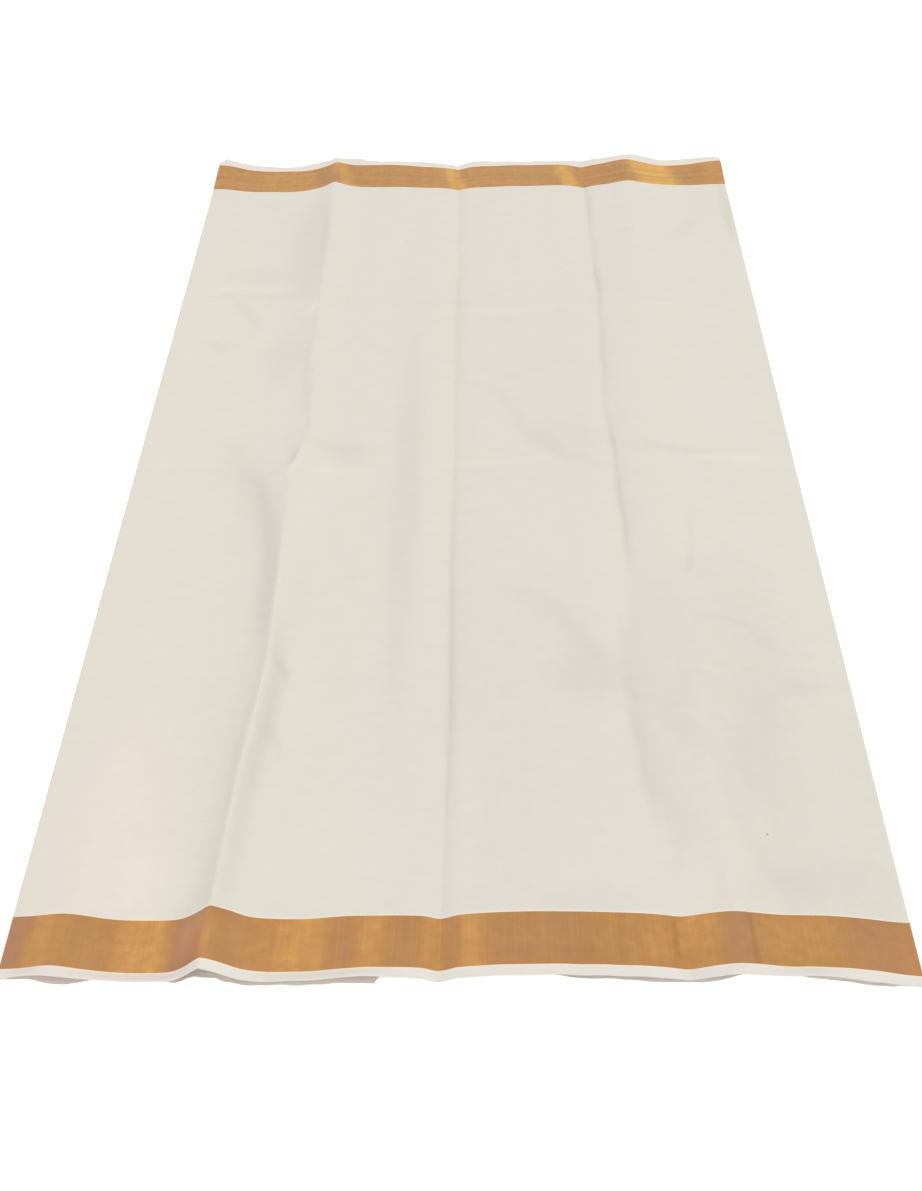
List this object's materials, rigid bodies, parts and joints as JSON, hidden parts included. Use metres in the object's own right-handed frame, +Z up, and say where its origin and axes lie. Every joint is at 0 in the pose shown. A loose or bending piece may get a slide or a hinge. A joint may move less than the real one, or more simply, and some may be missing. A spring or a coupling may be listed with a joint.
{
  "type": "folded cotton saree with woven gold borders",
  "caption": "Plain cream cotton saree with a woven gold border along each long edge, folded into a flat rectangular pack that lies on a surface.",
  "frame": {"origin": "on the resting surface, under the middle of the folded pack", "axes": "+Z up, away from the surface; +X along the cloth's length, towards the side with two stacked folds; +Y across the cloth's width, from the near selvages to the far ones"},
  "size_m": [0.697, 1.1735, 0.0266],
  "materials": {
    "cotton": "matte plain-woven cream cotton with fine slubs",
    "gold_border": "satin gold metallic-thread weave with soft lengthwise lines",
    "selvage": "matte, close-woven cream edge",
    "inner_layers": "matte cream cotton, the edges of the folded layers"
  },
  "bodies": {
    "root": {"top_near_selvage": "selvage", "top_near_border": "gold_border", "top_field": "cotton", "top_far_border": "gold_border", "top_far_selvage": "selvage", "end_near_selvage": "selvage", "end_near_border": "gold_border", "end_field": "cotton", "end_far_border": "gold_border", "end_far_selvage": "selvage", "second_near_selvage": "selvage", "second_near_border": "gold_border", "second_field": "cotton", "second_far_border": "gold_border", "second_far_selvage": "selvage", "hidden_folds": "inner_layers"}
  },
  "joints": []
}
